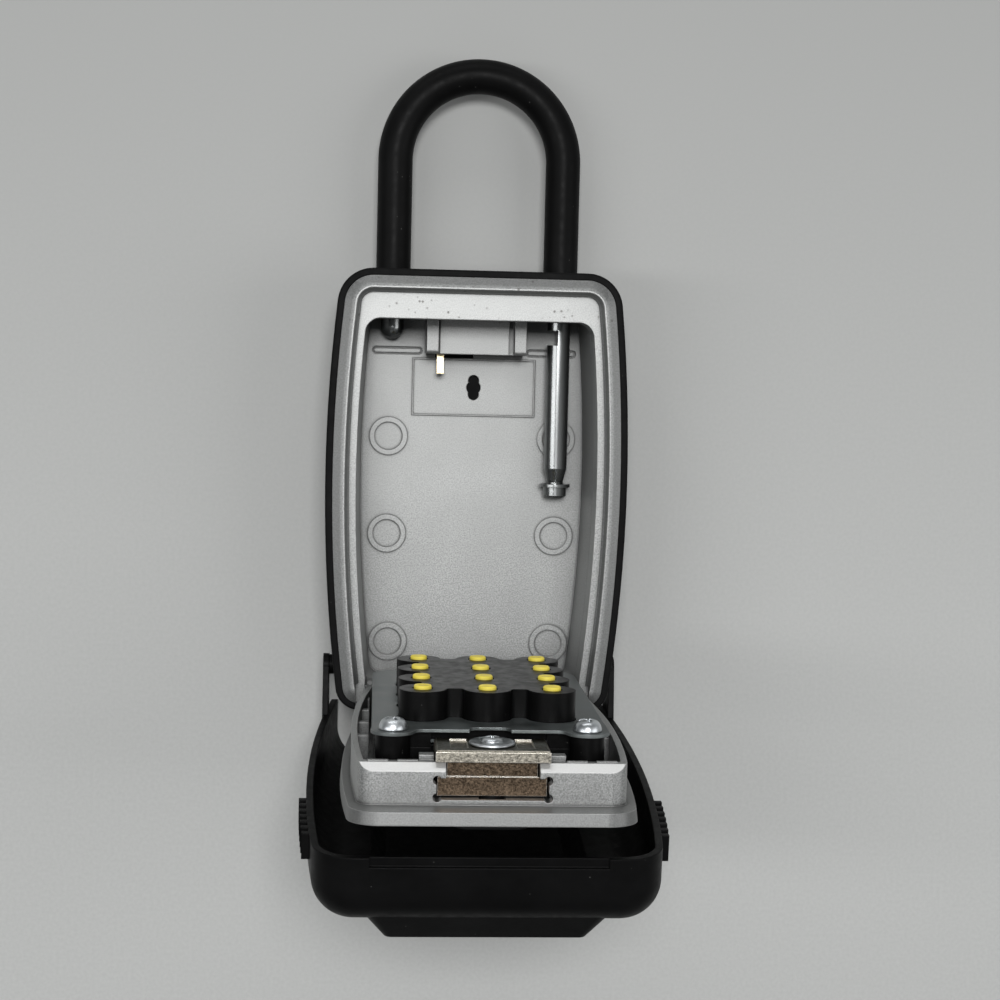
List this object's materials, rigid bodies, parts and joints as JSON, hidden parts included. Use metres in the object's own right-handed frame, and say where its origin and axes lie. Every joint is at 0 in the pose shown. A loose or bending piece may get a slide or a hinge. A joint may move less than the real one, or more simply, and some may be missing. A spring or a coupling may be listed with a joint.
{
  "type": "portable lock box",
  "caption": "Portable key lock box with a sliding shackle, a hinged door with push buttons and a slide latch, and a hinged weather cover, shown open on its back.",
  "frame": {"origin": "middle of the box's flat back face, which lies on the table", "axes": "+X across the box to the long leg's side, +Y along the box towards the shackle, +Z out of the open front"},
  "size_m": [0.0962, 0.2347, 0.1446],
  "materials": {
    "silver_casting": "satin silver paint",
    "boot_rubber": "matte",
    "sleeve_vinyl": "satin vinyl",
    "bright_steel": "bright, drawn",
    "zinc_plate": "zinc plated, slightly blue",
    "screw_zinc": "bright zinc",
    "latch_nickel": "satin nickel",
    "lever_brass": "plain",
    "housing_black": "satin moulded",
    "pin_yellow": "plain moulded",
    "button_grey": "plain moulded",
    "knob_black": "plain moulded",
    "cover_black": "fine grain",
    "spring_steel": "plain wire"
  },
  "bodies": {
    "body": {"body_casting": "silver_casting", "body_boot": "boot_rubber", "shackle_lock_housing": "silver_casting", "door_hinge_pin": "bright_steel", "cover_pivot_pins": "bright_steel"},
    "release": {"release_bolt": "bright_steel", "release_lever": "lever_brass"},
    "shackle": {"shackle_rod": "bright_steel", "shackle_sleeve": "sleeve_vinyl", "shackle_stop_ring": "bright_steel"},
    "door": {"door_casting": "silver_casting", "code_housing": "housing_black", "tower_housing": "housing_black", "back_plate": "zinc_plate", "plate_screws": "screw_zinc", "button_springs": "spring_steel", "latch_springs": "spring_steel"},
    "latch": {"latch_bolt": "latch_nickel", "open_lever": "knob_black", "latch_screw": "screw_zinc", "locking_slide": "zinc_plate"},
    "reset": {"clear_slide": "knob_black"},
    "cover": {"weather_cover": "cover_black"},
    "key_01": {"button_01": "button_grey"},
    "pin_01": {"code_pin_01": "pin_yellow"},
    "key_02": {"button_02": "button_grey"},
    "pin_02": {"code_pin_02": "pin_yellow"},
    "key_03": {"button_03": "button_grey"},
    "pin_03": {"code_pin_03": "pin_yellow"},
    "key_04": {"button_04": "button_grey"},
    "pin_04": {"code_pin_04": "pin_yellow"},
    "key_05": {"button_05": "button_grey"},
    "pin_05": {"code_pin_05": "pin_yellow"},
    "key_06": {"button_06": "button_grey"},
    "pin_06": {"code_pin_06": "pin_yellow"},
    "key_07": {"button_07": "button_grey"},
    "pin_07": {"code_pin_07": "pin_yellow"},
    "key_08": {"button_08": "button_grey"},
    "pin_08": {"code_pin_08": "pin_yellow"},
    "key_09": {"button_09": "button_grey"},
    "pin_09": {"code_pin_09": "pin_yellow"},
    "key_10": {"button_10": "button_grey"},
    "pin_10": {"code_pin_10": "pin_yellow"},
    "key_11": {"button_11": "button_grey"},
    "pin_11": {"code_pin_11": "pin_yellow"},
    "key_12": {"button_12": "button_grey"},
    "pin_12": {"code_pin_12": "pin_yellow"}
  },
  "joints": [
    {"name": "door_hinge", "type": "hinge", "parent": "body", "child": "door", "pos_m": [0, -0.0605, 0.0273], "axis": [1, 0, 0], "range_deg": [-90, 0]},
    {"name": "cover_hinge", "type": "hinge", "parent": "body", "child": "cover", "pos_m": [0, -0.0554, 0.014], "axis": [1, 0, 0], "range_deg": [-90, 0]},
    {"name": "shackle_slide", "type": "slide", "parent": "body", "child": "shackle", "axis": [0, 1, 0], "range_m": [0, 0.051]},
    {"name": "release_slide", "type": "slide", "parent": "body", "child": "release", "axis": [1, 0, 0], "range_m": [0, 0.0089]},
    {"name": "latch_slide", "type": "slide", "parent": "door", "child": "latch", "axis": [0, 0, 1], "range_m": [0, 0.003]},
    {"name": "clear_slide_travel", "type": "slide", "parent": "door", "child": "reset", "axis": [0, 0, -1], "range_m": [0, 0.004], "stiffness_N_per_m": 250, "springref_m": -0.001},
    {"name": "button_01_press", "type": "slide", "parent": "door", "child": "key_01", "axis": [0, 1, 0], "range_m": [0, 0.0025], "stiffness_N_per_m": 400, "springref_m": -0.001},
    {"name": "code_pin_01_turn", "type": "hinge", "parent": "key_01", "child": "pin_01", "pos_m": [-0.01655, -0.055, 0.06], "axis": [0, 1, 0], "range_deg": [0, 180]},
    {"name": "button_02_press", "type": "slide", "parent": "door", "child": "key_02", "axis": [0, 1, 0], "range_m": [0, 0.0025], "stiffness_N_per_m": 400, "springref_m": -0.001},
    {"name": "code_pin_02_turn", "type": "hinge", "parent": "key_02", "child": "pin_02", "pos_m": [0, -0.055, 0.06], "axis": [0, 1, 0], "range_deg": [0, 180]},
    {"name": "button_03_press", "type": "slide", "parent": "door", "child": "key_03", "axis": [0, 1, 0], "range_m": [0, 0.0025], "stiffness_N_per_m": 400, "springref_m": -0.001},
    {"name": "code_pin_03_turn", "type": "hinge", "parent": "key_03", "child": "pin_03", "pos_m": [0.01655, -0.055, 0.06], "axis": [0, 1, 0], "range_deg": [0, 180]},
    {"name": "button_04_press", "type": "slide", "parent": "door", "child": "key_04", "axis": [0, 1, 0], "range_m": [0, 0.0025], "stiffness_N_per_m": 400, "springref_m": -0.001},
    {"name": "code_pin_04_turn", "type": "hinge", "parent": "key_04", "child": "pin_04", "pos_m": [-0.01655, -0.055, 0.07567], "axis": [0, 1, 0], "range_deg": [0, 180]},
    {"name": "button_05_press", "type": "slide", "parent": "door", "child": "key_05", "axis": [0, 1, 0], "range_m": [0, 0.0025], "stiffness_N_per_m": 400, "springref_m": -0.001},
    {"name": "code_pin_05_turn", "type": "hinge", "parent": "key_05", "child": "pin_05", "pos_m": [0, -0.055, 0.07567], "axis": [0, 1, 0], "range_deg": [0, 180]},
    {"name": "button_06_press", "type": "slide", "parent": "door", "child": "key_06", "axis": [0, 1, 0], "range_m": [0, 0.0025], "stiffness_N_per_m": 400, "springref_m": -0.001},
    {"name": "code_pin_06_turn", "type": "hinge", "parent": "key_06", "child": "pin_06", "pos_m": [0.01655, -0.055, 0.07567], "axis": [0, 1, 0], "range_deg": [0, 180]},
    {"name": "button_07_press", "type": "slide", "parent": "door", "child": "key_07", "axis": [0, 1, 0], "range_m": [0, 0.0025], "stiffness_N_per_m": 400, "springref_m": -0.001},
    {"name": "code_pin_07_turn", "type": "hinge", "parent": "key_07", "child": "pin_07", "pos_m": [-0.01655, -0.055, 0.09134], "axis": [0, 1, 0], "range_deg": [0, 180]},
    {"name": "button_08_press", "type": "slide", "parent": "door", "child": "key_08", "axis": [0, 1, 0], "range_m": [0, 0.0025], "stiffness_N_per_m": 400, "springref_m": -0.001},
    {"name": "code_pin_08_turn", "type": "hinge", "parent": "key_08", "child": "pin_08", "pos_m": [0, -0.055, 0.09134], "axis": [0, 1, 0], "range_deg": [0, 180]},
    {"name": "button_09_press", "type": "slide", "parent": "door", "child": "key_09", "axis": [0, 1, 0], "range_m": [0, 0.0025], "stiffness_N_per_m": 400, "springref_m": -0.001},
    {"name": "code_pin_09_turn", "type": "hinge", "parent": "key_09", "child": "pin_09", "pos_m": [0.01655, -0.055, 0.09134], "axis": [0, 1, 0], "range_deg": [0, 180]},
    {"name": "button_10_press", "type": "slide", "parent": "door", "child": "key_10", "axis": [0, 1, 0], "range_m": [0, 0.0025], "stiffness_N_per_m": 400, "springref_m": -0.001},
    {"name": "code_pin_10_turn", "type": "hinge", "parent": "key_10", "child": "pin_10", "pos_m": [-0.01655, -0.055, 0.10701], "axis": [0, 1, 0], "range_deg": [0, 180]},
    {"name": "button_11_press", "type": "slide", "parent": "door", "child": "key_11", "axis": [0, 1, 0], "range_m": [0, 0.0025], "stiffness_N_per_m": 400, "springref_m": -0.001},
    {"name": "code_pin_11_turn", "type": "hinge", "parent": "key_11", "child": "pin_11", "pos_m": [0, -0.055, 0.10701], "axis": [0, 1, 0], "range_deg": [0, 180]},
    {"name": "button_12_press", "type": "slide", "parent": "door", "child": "key_12", "axis": [0, 1, 0], "range_m": [0, 0.0025], "stiffness_N_per_m": 400, "springref_m": -0.001},
    {"name": "code_pin_12_turn", "type": "hinge", "parent": "key_12", "child": "pin_12", "pos_m": [0.01655, -0.055, 0.10701], "axis": [0, 1, 0], "range_deg": [0, 180]}
  ],
  "couplings": [
    {"joint": "cover_hinge", "follows": "door_hinge", "ratio": 1}
  ]
}
